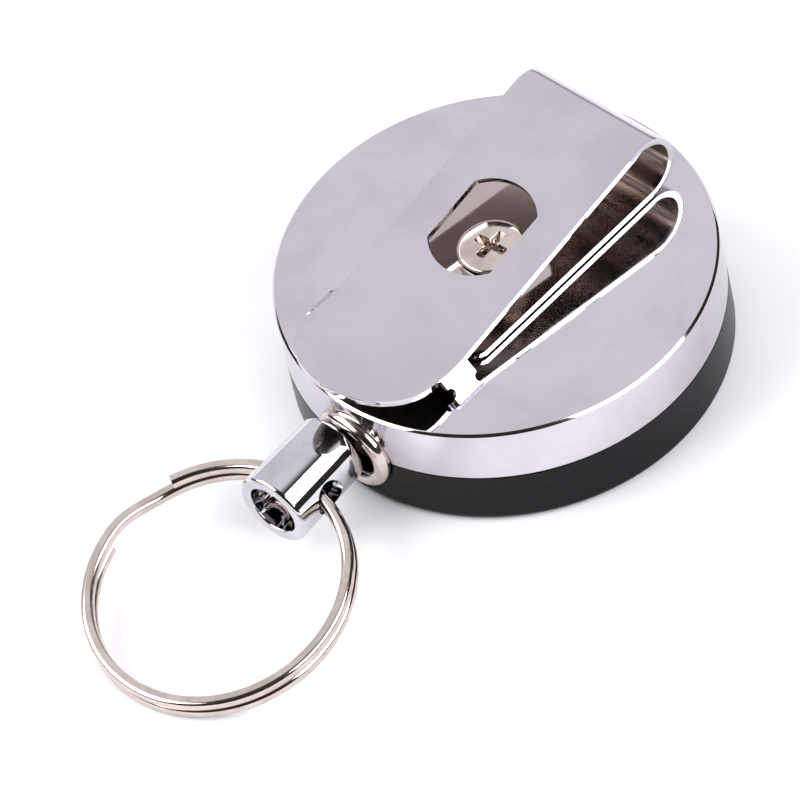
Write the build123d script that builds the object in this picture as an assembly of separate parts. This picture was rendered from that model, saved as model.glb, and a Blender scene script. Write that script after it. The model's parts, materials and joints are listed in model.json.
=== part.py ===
from build123d import *
import math
import os

# Retractable badge reel, lying on its black front cover with the belt clip on top.
# Origin: centre of the front cover's flat face. +Z runs up the case's axis, the cord leaves towards -Y.
# All sizes are in millimetres.

# Case
case_radius = 20.0
case_height = 11.7
seam_height = 5.9
cover_wall = 1.4
cover_floor = 1.3
cover_edge_round = 0.9
shell_sheet = 0.55
shell_edge_round = 0.5
spigot_radius = 19.4
spigot_height = 1.4
boss_radius = 5.0
boss_top = 2.0

# Arbor post and clip screw
post_radius = 2.5
post_slot = 0.5
post_slot_bottom = 3.6
screw_radius = 1.5
screw_clearance = 0.15
screw_depth = 5.5
head_radius = 3.15
head_height = 1.6
head_round = 0.3
recess_span = 3.2
recess_bar = 0.85
recess_depth = 1.0
recess_turn = 2.0

# Slip washers
washer_sheet = 0.35
washer_bore = 2.6
washer_radius = 5.0

# Spool, its spring and its cord
spool_floor_bottom = 2.4
spool_floor = 1.0
spool_bore = post_radius + 0.05
drum_radius = 13.0
drum_wall = 1.0
drum_top = 10.2
flange_radius = 17.0
flange_sheet = 0.8
groove_width = 3.0
spring_sheet = 0.15
spring_width = 6.0
spring_turns = 12
spring_first_radius = 4.2
spring_last_radius = 11.7
spring_cover_sheet = 0.5
cord_radius = 0.45
winding_radius = 15.6
knot_radius = 1.0
knot_offset = 1.2

# Cord eyelet
lip_radius = 3.3
lip_section = 0.8
eyelet_throat = 2.5
eyelet_neck = 2.9
eyelet_seat = 19.4
eyelet_flange_radius = 3.6
eyelet_flange_sheet = 0.5

# Bell at the cord's end: it is drawn in off centre and slightly turned by the slanting cord
bell_shift = -1.6
bell_turn = 3.0
bell_start = 20.9
bell_length = 8.75
bell_inner_end_radius = 3.43
bell_outer_end_radius = 3.62
bell_bore = 2.45
bell_end_wall = 1.3
bell_cord_hole = 0.65
bell_chamfer = 0.35
ring_hole = 4.8
ring_hole_radius = 1.65

# Split ring, two turns of flattened wire
ring_radius = 11.88
ring_wire_width = 1.2
ring_wire_height = 1.2
ring_wire_round = 0.5
ring_hang = -0.15
ring_crossover = 35.5
ring_crossover_end = 275.5
ring_end_gap = 1.5

# Belt clip, one strip of spring steel bent back on itself
clip_shift = -0.57
clip_half_width = 7.36
clip_sheet = 0.8
clip_end = -10.0
bend_centre_y = 13.6
bend_radius = 3.45
bend_lap = 0.02
arm_slope = 10.4
flare_start = -12.57
flare_slope = 7.4
flare_bend_radius = 6.0
tongue_start = -15.4
tongue_end = -21.2
window_radius = 5.0
window_half_width = 3.75
ear_start = -10.95
ear_length = 3.25
ear_reach = 2.05
ear_gap = 0.1
ear_lap = 0.05

os.makedirs("parts", exist_ok=True)


def save(solid, node):
    solid.label = node
    export_step(solid, "parts/" + node + ".step")


def disc(radius, bottom, top, bore=0.0):
    """A round plate about the case's axis, with a bore when one is given."""
    plate = Pos(0, 0, bottom) * extrude(Circle(radius), top - bottom)
    if bore > 0:
        plate -= Pos(0, 0, bottom - 1) * extrude(Circle(bore), top - bottom + 2)
    return plate


def exit_cylinder(radius, near, far):
    """A cylinder about the cord's way out, between two distances from the case's axis."""
    axis = Plane(origin=(0, -near, seam_height), x_dir=(1, 0, 0), z_dir=(0, -1, 0))
    return axis * extrude(Circle(radius), far - near)


# ---- Case ----

inner_cover = case_radius - cover_wall
exit_notch = exit_cylinder(eyelet_neck, inner_cover - 2, case_radius + 2)
exit_seat = exit_cylinder(lip_radius + lip_section + 0.05, eyelet_seat, case_radius + 2)


def make_front_cover():
    """Black cup with a spigot that the shell snaps over and a tall tab behind the eyelet."""
    cup = disc(case_radius, 0, seam_height)
    cup = fillet(cup.edges().group_by(Axis.Z)[0], cover_edge_round)
    cup -= disc(inner_cover, cover_floor, seam_height + 1)
    cup += disc(spigot_radius, seam_height, seam_height + spigot_height, inner_cover)
    tab_top = seam_height + lip_radius + lip_section + 0.3
    tab = disc(spigot_radius, seam_height, tab_top, inner_cover)
    tab &= Pos(0, -case_radius, seam_height) * Box(2 * lip_radius + 3, 10, 20)
    cup += tab
    cup += disc(boss_radius, cover_floor, boss_top, post_radius)
    cup -= exit_notch
    cup -= exit_seat
    return cup - exit_cylinder(eyelet_flange_radius + 0.1, inner_cover - 2, inner_cover)


def make_back_shell():
    """Chrome cup that closes the case, notched round the eyelet."""
    shell = disc(case_radius, seam_height, case_height)
    shell = fillet(shell.edges().group_by(Axis.Z)[-1], shell_edge_round)
    shell -= disc(case_radius - shell_sheet, seam_height - 1, case_height - shell_sheet)
    shell -= disc(screw_radius + screw_clearance, seam_height, case_height + 1)
    shell -= exit_notch
    return shell - exit_seat


def make_arbor_post():
    """Post that carries the spool, slotted for the spring and tapped for the clip screw."""
    post_top = case_height - shell_sheet
    post = disc(post_radius, cover_floor, post_top)
    post -= disc(screw_radius, post_top - screw_depth, post_top + 1)
    slot_height = post_top - post_slot_bottom
    slot = Pos(post_radius / 2, 0, post_slot_bottom + slot_height / 2)
    post -= slot * Box(post_radius + 0.1, post_slot, slot_height + 0.01)
    return post


def make_slip_washer(bottom):
    return disc(washer_radius, bottom, bottom + washer_sheet, washer_bore)


def make_cord_eyelet():
    """Round-lipped grommet in the seam between cover and shell, clinched behind the wall."""
    back = inner_cover
    neck = exit_cylinder(eyelet_neck, back, eyelet_seat)
    flange = exit_cylinder(eyelet_flange_radius, back - eyelet_flange_sheet, back)
    flange = fillet(flange.edges().group_by(Axis.Y)[-1], 0.3)
    ring_plane = Plane(origin=(0, -case_radius, seam_height), x_dir=(1, 0, 0), z_dir=(0, -1, 0))
    lip = ring_plane * Torus(lip_radius, lip_section)
    lip -= exit_cylinder(2 * lip_radius, eyelet_seat - 5, eyelet_seat)
    bead_fill = exit_cylinder(lip_radius, eyelet_seat, case_radius)
    body = neck + flange + lip + bead_fill
    return body - exit_cylinder(eyelet_throat, back - 2, case_radius + 2)


# ---- Spool ----

spring_bottom = spool_floor_bottom + spool_floor + 0.4
groove_bottom = seam_height - groove_width / 2
groove_top = seam_height + groove_width / 2
cavity_radius = drum_radius - drum_wall


def make_spool_body():
    """Drum with the lower flange. The power spring lies inside it and the cord outside."""
    body = disc(drum_radius, spool_floor_bottom, drum_top)
    body -= disc(cavity_radius, spool_floor_bottom + spool_floor, drum_top + 1)
    body += disc(flange_radius, groove_bottom - flange_sheet, groove_bottom, cavity_radius)
    step = disc(drum_radius + 1, groove_top, drum_top + 1, drum_radius - 0.4)
    body -= step
    body -= disc(spool_bore, 0, drum_top)
    knot_hole = Pos(0, drum_radius + knot_offset, 0) * disc(cord_radius + 0.1, 0, groove_bottom + 0.1)
    return body - knot_hole


def make_spool_flange():
    """Upper flange, a ring pressed on the drum's step."""
    return disc(flange_radius, groove_top, groove_top + flange_sheet, drum_radius - 0.4)


def make_spring_cover():
    """Thin plate over the spring, held in the top of the drum."""
    top = drum_top + spring_cover_sheet
    return disc(drum_radius - 0.4, drum_top, top, spool_bore + 0.05)


def half_turn(radius, centre_x, up):
    """Half a turn of spring strip on the +Y or -Y side."""
    ring = Circle(radius + spring_sheet / 2) - Circle(radius - spring_sheet / 2)
    side = 1 if up else -1
    half = ring & (Pos(0, side * radius) * Rectangle(4 * radius, 2 * radius))
    return Pos(centre_x, 0) * half


def make_power_spring():
    """Spiral of half circles, with a straight tail in the post's slot."""
    pitch = (spring_last_radius - spring_first_radius) / spring_turns
    strip = half_turn(spring_first_radius, 0, True)
    for step in range(1, 2 * spring_turns):
        radius = spring_first_radius + step * pitch / 2
        on_plus_y = step % 2 == 0
        strip += half_turn(radius, 0 if on_plus_y else -pitch / 2, on_plus_y)
    tail_length = spring_first_radius - 1.7
    tail = Pos(spring_first_radius + spring_sheet / 2 - tail_length / 2, 0)
    strip += tail * Rectangle(tail_length, spring_sheet)
    return Pos(0, 0, spring_bottom) * extrude(strip, spring_width)


def make_wound_cord():
    """Outer shape of the cord that is wound on the drum."""
    side_gap = 0.1
    return disc(winding_radius, groove_bottom + side_gap, groove_top - side_gap, drum_radius)


def make_spool_knot():
    """Knot under the lower flange that holds the cord's inner end."""
    knot_y = drum_radius + knot_offset
    knot_z = groove_bottom - flange_sheet - knot_radius
    stub = Pos(0, knot_y, knot_z) * extrude(Circle(cord_radius), groove_bottom + 0.1 - knot_z)
    return stub + Pos(0, knot_y, knot_z) * Sphere(knot_radius)


# ---- Cord end, bell and ring ----

turn = math.radians(bell_turn)
bell_direction = Vector(math.sin(turn), -math.cos(turn), 0)
cross_direction = Vector(math.cos(turn), math.sin(turn), 0)
bell_origin = Vector(bell_shift, -bell_start, seam_height)
bell_frame = Plane(origin=bell_origin, x_dir=cross_direction, z_dir=bell_direction)
ring_pivot = bell_origin + bell_direction * ring_hole


def make_bell():
    """Tapered tube with an end wall for the cord and a cross hole for the ring."""
    outer = [
        (0, 0),
        (bell_inner_end_radius - bell_chamfer, 0),
        (bell_inner_end_radius, bell_chamfer),
        (bell_outer_end_radius, bell_length - bell_chamfer),
        (bell_outer_end_radius - bell_chamfer, bell_length),
        (bell_bore + 0.2, bell_length),
        (bell_bore, bell_length - 0.2),
        (bell_bore, bell_end_wall),
        (0, bell_end_wall),
    ]
    half_section = make_face(Plane.XZ * Polyline(*outer, close=True))
    bell = revolve(half_section, Axis.Z)
    bell -= extrude(Circle(bell_cord_hole), bell_end_wall + 1, both=True)
    cross_hole = Plane.YZ * Pos(0, ring_hole) * extrude(Circle(ring_hole_radius), 5, both=True)
    return bell_frame * (bell - cross_hole)


def make_end_knot():
    """Knot inside the bell, too large for the cord's hole."""
    return bell_frame * Pos(0, 0, bell_end_wall + knot_radius + 0.05) * Sphere(knot_radius)


def cord_route():
    """Points of the cord's lead: off the winding, round the throat's edge, to the knot in the bell."""
    throat_x = -(eyelet_throat - cord_radius - 0.4)
    corner = Vector(throat_x, -(inner_cover - 1.2), seam_height)
    lead_radius = winding_radius + cord_radius + 0.1
    reach = math.hypot(corner.X, corner.Y)
    bearing = math.atan2(corner.Y, corner.X) - math.acos(lead_radius / reach)
    start = Vector(lead_radius * math.cos(bearing), lead_radius * math.sin(bearing), seam_height)
    knot = bell_origin + bell_direction * (bell_end_wall + 0.35)
    return [start, corner, knot]


def make_cord_lead():
    """Cord between the winding and the knot in the bell, kept out of the knot itself."""
    start, corner, knot = cord_route()
    turn_angle = math.radians((corner - start).get_angle(knot - corner))
    shorter = min((corner - start).length, (knot - corner).length)
    bend = 0.45 * shorter / math.tan(turn_angle / 2)
    print("cord lead bend", round(bend, 2))
    path = FilletPolyline(start, corner, knot, radius=bend)
    section = Plane(origin=start, z_dir=(corner - start)) * Circle(cord_radius)
    lead = sweep(section, path=path)
    print("cord lead length", round(path.length, 2), "volume ratio",
          round(lead.volume / (path.length * math.pi * cord_radius ** 2), 4))
    return lead - make_end_knot()


def ring_tilt():
    """Slope at which the ring hangs from the bell's hole with its far side on the floor."""
    reach = 2 * ring_radius - ring_hang
    tilt = 0.0
    for _ in range(20):
        low_side = ring_wire_height * math.cos(tilt) + ring_wire_width / 2 * math.sin(tilt)
        tilt = math.asin((seam_height - low_side - 0.01) / reach)
    return tilt


def make_split_ring():
    """Two flat turns of wire joined by one crossover."""
    half = ring_wire_height / 2
    lower_turn = CenterArc((0, 0, -half), ring_radius, ring_end_gap, 360 - ring_crossover - ring_end_gap)
    upper_turn = CenterArc((0, 0, half), ring_radius, 0, 360 - ring_crossover - ring_end_gap)
    crossover = Spline(
        lower_turn @ 1, upper_turn @ 0, tangents=(lower_turn % 1, upper_turn % 0)
    )
    path = Wire([lower_turn, crossover, upper_turn])
    start = lower_turn @ 0
    section_plane = Plane(origin=start, x_dir=(0, 0, 1), z_dir=lower_turn % 0)
    section = section_plane * RectangleRounded(ring_wire_height, ring_wire_width, ring_wire_round)
    ring = sweep(section, path=path)
    tilt = ring_tilt()
    outward = bell_direction * math.cos(tilt) - Vector(0, 0, 1) * math.sin(tilt)
    centre = ring_pivot + outward * (ring_radius - ring_hang)
    normal = outward.cross(cross_direction)
    print("ring pivot", ring_pivot, "centre", centre, "tilt", round(math.degrees(tilt), 2))
    return Plane(origin=centre, x_dir=outward, z_dir=normal) * Rot(0, 0, ring_crossover_end) * ring


# ---- Belt clip ----

bend_centre = Vector(bend_centre_y, case_height + bend_radius)
slope = math.radians(arm_slope)
flare = math.radians(flare_slope)
lap_radius = bend_radius - clip_sheet / 2


def bend_point(radius, degrees):
    """Point on the bend in the clip's side view: 0 is outwards along +Y, 90 is up."""
    angle = math.radians(degrees)
    return bend_centre + Vector(radius * math.cos(angle), radius * math.sin(angle))


def side_profile(outline):
    """Solid of the strip's full width from an outline of (y, z) edges."""
    side = Plane(origin=(clip_shift - clip_half_width, 0, 0), x_dir=(0, 1, 0), z_dir=(1, 0, 0))
    return side * extrude(make_face(outline), 2 * clip_half_width)


def bend_shell(inner, outer, first, last):
    """Part of the round bend between two radii and two angles."""
    return [
        CenterArc((bend_centre.X, bend_centre.Y), outer, first, last - first),
        Line(bend_point(outer, last), bend_point(inner, last)),
        CenterArc((bend_centre.X, bend_centre.Y), inner, first, last - first),
        Line(bend_point(inner, first), bend_point(outer, first)),
    ]


def make_clip_base():
    """Leaf under the screw and the inner half of the bend's thickness."""
    leaf_length = bend_centre_y - clip_end
    leaf = Pos(clip_shift, (bend_centre_y + clip_end) / 2, case_height + clip_sheet / 2)
    base = leaf * Box(2 * clip_half_width, leaf_length, clip_sheet)
    base += side_profile(bend_shell(bend_radius - clip_sheet, bend_radius, -90, -78))
    base += side_profile(bend_shell(bend_radius - clip_sheet, lap_radius - bend_lap, -79, 60))
    corners = base.edges().filter_by(Axis.Z).group_by(Axis.Y)[0]
    base = fillet(corners, 1.5)
    return base - disc(screw_radius + screw_clearance, case_height - 1, case_height + 2)


def arm_profile():
    """Side view of the arm: straight down from the bend, then flared up into the tongue."""
    top_start = bend_point(bend_radius, 90 + arm_slope)
    run = (top_start.X - flare_start) / math.cos(slope)
    down = Vector(-math.cos(slope), -math.sin(slope))
    up = Vector(-math.cos(flare), math.sin(flare))
    top_corner = top_start + down * run
    top_tip = top_corner + up * ((flare_start - tongue_end) / math.cos(flare))
    under_start = bend_point(bend_radius - clip_sheet, 90 + arm_slope)
    half_turn_angle = (slope + flare) / 2
    under_corner = top_corner + Vector(0, -clip_sheet / math.cos(half_turn_angle)).rotate(
        Axis.Z, math.degrees((slope - flare) / 2)
    )
    under_tip = top_tip + Vector(-math.sin(flare), -math.cos(flare)) * clip_sheet
    top = FilletPolyline(top_start, top_corner, top_tip, radius=flare_bend_radius + clip_sheet)
    under = FilletPolyline(under_tip, under_corner, under_start, radius=flare_bend_radius)
    return [top, Line(top_tip, under_tip), under, Line(under_start, top_start)]


def tongue_plan():
    """Plan of the arm: parallel sides that close in an elliptical end, with the screw's window."""
    length = tongue_start - tongue_end
    straight = 40.0
    plan = Pos(clip_shift, tongue_start) * Ellipse(clip_half_width, length)
    plan += Pos(clip_shift, tongue_start + straight / 2) * Rectangle(2 * clip_half_width, straight)
    window = Circle(window_radius) & Rectangle(2 * window_half_width, 2 * window_radius)
    return plan - Pos(clip_shift, 0) * window


def make_ear():
    """Tab bent out and down at 45 degrees from the arm's edge, just clear of the case."""
    foot = case_height + ear_gap
    foot_width = clip_sheet * math.sqrt(2)
    top = foot + ear_reach + ear_lap
    outline = [(-ear_lap, top), (ear_reach, foot), (ear_reach - foot_width, foot), (-ear_lap, top - foot_width)]
    edge = Plane(origin=(clip_shift + clip_half_width, ear_start, 0), x_dir=(1, 0, 0), z_dir=(0, -1, 0))
    return edge * extrude(make_face(Polyline(*outline, close=True)), ear_length)


def make_clip_arm():
    """Outer half of the bend's thickness and the arm that springs against the case."""
    arm = side_profile(arm_profile())
    arm += side_profile(bend_shell(bend_radius - clip_sheet, bend_radius, 72, 90 + arm_slope))
    arm += side_profile(bend_shell(lap_radius, bend_radius, -66, 73))
    arm &= Pos(0, 0, case_height - 1) * extrude(tongue_plan(), 20)
    ear = make_ear()
    return arm + ear + mirror(ear, Plane.YZ.offset(clip_shift))


def make_clip_screw():
    """Cross-recessed pan head screw that holds the clip and the shell to the post."""
    seat = case_height + clip_sheet
    post_top = case_height - shell_sheet
    head = disc(head_radius, seat, seat + head_height)
    head = fillet(head.edges().group_by(Axis.Z)[-1], head_round)
    screw = head + disc(screw_radius - 0.01, post_top - screw_depth + 0.2, seat)
    recess_bottom = seat + head_height - recess_depth
    cross = Rectangle(recess_span, recess_bar) + Rectangle(recess_bar, recess_span)
    recess = Pos(0, 0, recess_bottom) * extrude(cross, recess_depth + 1)
    return screw - Rot(0, 0, recess_turn) * recess


save(make_front_cover(), "front_cover")
save(make_back_shell(), "back_shell")
save(make_arbor_post(), "arbor_post")
save(make_slip_washer(boss_top), "lower_slip_washer")
save(make_slip_washer(case_height - shell_sheet - washer_sheet), "upper_slip_washer")
save(make_cord_eyelet(), "cord_eyelet")
save(make_spool_body(), "spool_body")
save(make_spool_flange(), "spool_flange")
save(make_spring_cover(), "spring_cover")
save(make_power_spring(), "power_spring")
save(make_wound_cord(), "wound_cord")
save(make_spool_knot(), "spool_knot")
save(make_cord_lead(), "cord_lead")
save(make_end_knot(), "end_knot")
save(make_bell(), "bell")
save(make_split_ring(), "split_ring")
save(make_clip_base(), "clip_base")
save(make_clip_arm(), "clip_arm")
save(make_clip_screw(), "clip_screw")
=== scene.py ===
"""Retractable badge reel: chromed case on a black cover, sprung belt clip, cord bell and split ring."""

import json
import math

import bmesh
import bpy
from mathutils import Matrix, Vector


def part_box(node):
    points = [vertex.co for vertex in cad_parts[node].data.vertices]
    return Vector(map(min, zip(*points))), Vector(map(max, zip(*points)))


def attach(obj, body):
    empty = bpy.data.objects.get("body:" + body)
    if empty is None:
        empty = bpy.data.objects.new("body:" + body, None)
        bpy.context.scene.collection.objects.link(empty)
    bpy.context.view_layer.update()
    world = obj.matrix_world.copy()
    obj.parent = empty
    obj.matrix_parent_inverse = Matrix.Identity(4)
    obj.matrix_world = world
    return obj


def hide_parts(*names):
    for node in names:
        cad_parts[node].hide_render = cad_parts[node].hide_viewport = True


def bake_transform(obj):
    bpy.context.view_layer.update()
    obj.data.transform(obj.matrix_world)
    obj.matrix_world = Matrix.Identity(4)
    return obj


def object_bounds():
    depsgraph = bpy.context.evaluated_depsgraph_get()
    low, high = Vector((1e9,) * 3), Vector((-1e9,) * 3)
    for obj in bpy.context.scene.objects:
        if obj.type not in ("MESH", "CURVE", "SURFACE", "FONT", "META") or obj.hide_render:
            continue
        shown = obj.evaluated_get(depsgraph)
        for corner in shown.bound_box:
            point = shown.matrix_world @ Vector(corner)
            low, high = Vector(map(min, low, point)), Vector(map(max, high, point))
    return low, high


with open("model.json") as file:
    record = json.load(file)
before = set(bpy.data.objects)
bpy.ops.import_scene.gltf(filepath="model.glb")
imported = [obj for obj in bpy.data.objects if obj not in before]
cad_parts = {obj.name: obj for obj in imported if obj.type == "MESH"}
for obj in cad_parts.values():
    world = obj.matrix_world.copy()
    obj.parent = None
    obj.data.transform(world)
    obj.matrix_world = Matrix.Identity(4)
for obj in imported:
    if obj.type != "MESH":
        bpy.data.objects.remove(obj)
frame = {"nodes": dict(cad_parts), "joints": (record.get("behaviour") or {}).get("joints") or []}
cad_lowest, cad_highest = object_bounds()
MM = 0.001


# ---------------------------------------------------------------- Camera

CAMERA_PLACE = Vector((460.25, -367.03, 669.73)) * MM
CAMERA_AZIMUTH = math.radians(52.50)
CAMERA_ELEVATION = math.radians(48.83)
CAMERA_ROLL = math.radians(-13.56)


def make_camera():
    """Long lens, looking down on the open side of the belt clip."""
    data = bpy.data.cameras.new("camera")
    data.lens = 450
    data.sensor_width = 36
    data.clip_start = 0.05
    data.clip_end = 50
    camera = bpy.data.objects.new("camera", data)
    flat = math.cos(CAMERA_ELEVATION)
    back = Vector((
        math.sin(CAMERA_AZIMUTH) * flat,
        -math.cos(CAMERA_AZIMUTH) * flat,
        math.sin(CAMERA_ELEVATION),
    ))
    turn = (-back).to_track_quat("-Z", "Y").to_matrix().to_4x4()
    camera.matrix_world = Matrix.Translation(CAMERA_PLACE) @ turn @ Matrix.Rotation(CAMERA_ROLL, 4, "Z")
    bpy.context.scene.collection.objects.link(camera)
    bpy.context.scene.camera = camera


make_camera()


# ---------------------------------------------------------------- Nodes

MIX_A, MIX_B, MIX_COLOUR = 6, 7, 2


def add(tree, kind, inputs=(), **settings):
    """Adds a node: its properties by name, then its inputs, each a constant or another node's output."""
    made = tree.nodes.new(kind)
    for name, value in settings.items():
        setattr(made, name, value)
    for key, value in dict(inputs).items():
        if isinstance(value, bpy.types.NodeSocket):
            tree.links.new(value, made.inputs[key])
        else:
            made.inputs[key].default_value = value
    return made


def linear(hex_colour):
    """Linear light of an sRGB hex colour, with full alpha."""
    channels = [int(hex_colour[i:i + 2], 16) / 255 for i in (1, 3, 5)]
    return [c / 12.92 if c <= 0.04045 else ((c + 0.055) / 1.055) ** 2.4 for c in channels] + [1.0]


def per_mm(size_mm):
    """Texture scale whose cells are that many millimetres, on coordinates in metres."""
    return 1 / (size_mm * MM)


def start_material(name):
    material = bpy.data.materials.new(name)
    material.use_nodes = True
    material.node_tree.nodes.clear()
    place = add(material.node_tree, "ShaderNodeTexCoord").outputs["Object"]
    return material, material.node_tree, place


def close_material(tree, inputs):
    shader = add(tree, "ShaderNodeBsdfPrincipled", inputs)
    add(tree, "ShaderNodeOutputMaterial", {"Surface": shader.outputs[0]})


def plated_metal(name, light, dark, low_rough, high_rough, grain, haze_mm, lines, ripple_um):
    """A plated and polished metal.

    Its colour runs from light to dark and its roughness from low to high, both in a cloudy haze of
    haze_mm. lines is the direction of the polishing lines as (x, y, z) cell sizes in mm, and
    ripple_um is how far the plate rises and falls over grain mm.
    """
    material, tree, place = start_material(name)
    haze = add(tree, "ShaderNodeTexNoise", {
        "Vector": place, "Scale": per_mm(haze_mm), "Detail": 4.0, "Roughness": 0.6, "Distortion": 0.4,
    })
    stretched = add(tree, "ShaderNodeMapping", {
        "Vector": place, "Scale": [per_mm(size) for size in lines],
    })
    marks = add(tree, "ShaderNodeTexNoise", {
        "Vector": stretched.outputs[0], "Scale": 1.0, "Detail": 3.0, "Roughness": 0.65,
    })
    cloud = add(tree, "ShaderNodeMapRange", {
        "Value": haze.outputs["Fac"], "From Min": 0.35, "From Max": 0.7,
    }, interpolation_type="SMOOTHSTEP")
    tint = add(tree, "ShaderNodeMix", {
        0: cloud.outputs[0], MIX_A: linear(light), MIX_B: linear(dark),
    }, data_type="RGBA")
    worn = add(tree, "ShaderNodeMath", {0: cloud.outputs[0], 1: marks.outputs["Fac"]}, operation="MULTIPLY")
    rough = add(tree, "ShaderNodeMapRange", {
        "Value": worn.outputs[0], "From Min": 0.0, "From Max": 0.7, "To Min": low_rough, "To Max": high_rough,
    })
    pebble = add(tree, "ShaderNodeTexNoise", {"Vector": place, "Scale": per_mm(grain), "Detail": 2.0})
    scratched = add(tree, "ShaderNodeBump", {
        "Height": marks.outputs["Fac"], "Distance": 0.25 * ripple_um * MM * MM, "Strength": 1.0,
    })
    rippled = add(tree, "ShaderNodeBump", {
        "Height": pebble.outputs["Fac"], "Distance": ripple_um * MM * MM, "Strength": 1.0,
        "Normal": scratched.outputs[0],
    })
    close_material(tree, {
        "Base Color": tint.outputs[MIX_COLOUR], "Metallic": 1.0, "Roughness": rough.outputs[0],
        "Normal": rippled.outputs[0],
    })
    return material


def moulded_plastic(name, light, dark, rough, texture_mm, texture_um, ior, gloss):
    """An injection-moulded plastic: spark-eroded grain and faint flow marks."""
    material, tree, place = start_material(name)
    flow = add(tree, "ShaderNodeTexNoise", {
        "Vector": place, "Scale": per_mm(7), "Detail": 3.0, "Distortion": 1.2,
    })
    grain = add(tree, "ShaderNodeTexNoise", {
        "Vector": place, "Scale": per_mm(texture_mm), "Detail": 3.0, "Roughness": 0.7,
    })
    tint = add(tree, "ShaderNodeMix", {
        0: flow.outputs["Fac"], MIX_A: linear(light), MIX_B: linear(dark),
    }, data_type="RGBA")
    shine = add(tree, "ShaderNodeMapRange", {
        "Value": grain.outputs["Fac"], "From Min": 0.3, "From Max": 0.7,
        "To Min": rough - 0.07, "To Max": rough + 0.07,
    })
    pitted = add(tree, "ShaderNodeBump", {
        "Height": grain.outputs["Fac"], "Distance": texture_um * MM * MM, "Strength": 1.0,
    })
    close_material(tree, {
        "Base Color": tint.outputs[MIX_COLOUR], "Roughness": shine.outputs[0], "IOR": ior,
        "Specular IOR Level": gloss, "Normal": pitted.outputs[0],
    })
    return material


def braided_nylon(name, along_cord):
    """Braided nylon: plaited bundles cross at a slant, each a soft bulge, with painted shade in the gap
    beside it.

    along_cord puts the braid on the piece's UV map, one unit to the cord's girth. Otherwise it lies flat.
    """
    material, tree, place = start_material(name)
    flat = add(tree, "ShaderNodeMapping", {"Vector": place, "Scale": [per_mm(CORD_GIRTH)] * 3})
    around = add(tree, "ShaderNodeUVMap") if along_cord else flat
    split = add(tree, "ShaderNodeSeparateXYZ", {0: around.outputs[0]})
    crossings = []
    for slant in (1.0, -1.0):
        leaned = add(tree, "ShaderNodeMath", {0: split.outputs[1], 1: slant}, operation="MULTIPLY")
        phase = add(tree, "ShaderNodeMath", {0: split.outputs[0], 1: leaned.outputs[0]}, operation="ADD")
        wave = add(tree, "ShaderNodeMath", {
            0: phase.outputs[0], 1: BRAID_BUNDLES * math.pi,
        }, operation="MULTIPLY")
        crossings.append(add(tree, "ShaderNodeMath", {0: wave.outputs[0]}, operation="SINE"))
    weave = add(tree, "ShaderNodeMath", {
        0: crossings[0].outputs[0], 1: crossings[1].outputs[0],
    }, operation="MULTIPLY")
    bulge = add(tree, "ShaderNodeMapRange", {"Value": weave.outputs[0], "From Min": -1.0, "From Max": 1.0})
    # Colour darkens where the weave is low: painted shade in the gaps between bundles. The bump below uses
    # the same bulge.
    tint = add(tree, "ShaderNodeMix", {
        0: bulge.outputs[0], MIX_A: linear("#101012"), MIX_B: linear("#2E2D31"),
    }, data_type="RGBA")
    raised = add(tree, "ShaderNodeBump", {"Height": bulge.outputs[0], "Distance": 0.05 * MM, "Strength": 1.0})
    close_material(tree, {
        "Base Color": tint.outputs[MIX_COLOUR], "Roughness": 0.55, "IOR": 1.53, "Sheen Weight": 0.3,
        "Normal": raised.outputs[0],
    })
    return material


BRAID_BUNDLES = 8
CORD_RADIUS = 0.45
CORD_GIRTH = 2 * math.pi * CORD_RADIUS

# Chromium over nickel on drawn steel, buffed bright: a cool mirror with a faint cloudy haze.
CHROMED_STEEL = plated_metal(
    "chromium_plated_steel", "#CFCCD2", "#C6C1C8",
    0.045, 0.13, 1.6, 9.0, (0.4, 0.4, 0.4), 0.5,
)
# Rolled spring strip, plated after bending: the mill's lines run along the strip under the shine.
CLIP_STEEL = plated_metal(
    "nickel_chrome_plated_strip", "#CBC8CF", "#C3BEC5",
    0.05, 0.13, 1.4, 11.0, (0.12, 6.0, 0.4), 0.4,
)
# The strip's inner side: a warm satin, duller than the outer side.
CLIP_INSIDE = plated_metal(
    "unbuffed_nickel_plated_strip", "#BFB5B0", "#B5AAA5",
    0.07, 0.09, 1.5, 8.0, (0.3, 8.0, 0.8), 0.1,
)
# Under the arm and round the bend: duller still, and a darker copy of the inner nickel as painted shade.
CLIP_UNDERSIDE_PAINTED_SHADE = plated_metal(
    "dull_nickel_strip_with_painted_shade", "#A79D99", "#9C928E",
    0.2, 0.26, 1.5, 8.0, (0.3, 8.0, 0.8), 0.05,
)
# The screw's recess: nickel darkened with painted shade, and duller.
PAINTED_SHADE_RECESS_NICKEL = plated_metal(
    "nickel_recess_painted_shade", "#8C7A70", "#6E5D55",
    0.18, 0.3, 0.3, 1.0, (0.2, 0.2, 0.2), 0.4,
)
# Bright nickel: warmer and a little softer than chrome.
NICKEL = plated_metal(
    "bright_nickel_plate", "#D3C8C0", "#BFB2A9",
    0.08, 0.2, 0.7, 3.0, (0.3, 0.3, 0.3), 0.6,
)
# Turned brass under chrome: sharp reflections, with the lathe's rings across the tube.
BELL_CHROME = plated_metal(
    "chromium_plated_brass", "#CCCBD0", "#BDBBC1",
    0.035, 0.1, 1.2, 4.0, (3.0, 0.12, 3.0), 0.5,
)
# Zinc plate, cool grey and soft.
ZINC_STEEL = plated_metal(
    "zinc_plated_steel", "#B9BDC4", "#9DA2A6",
    0.28, 0.45, 0.5, 2.0, (0.2, 0.2, 0.2), 2.0,
)
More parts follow.
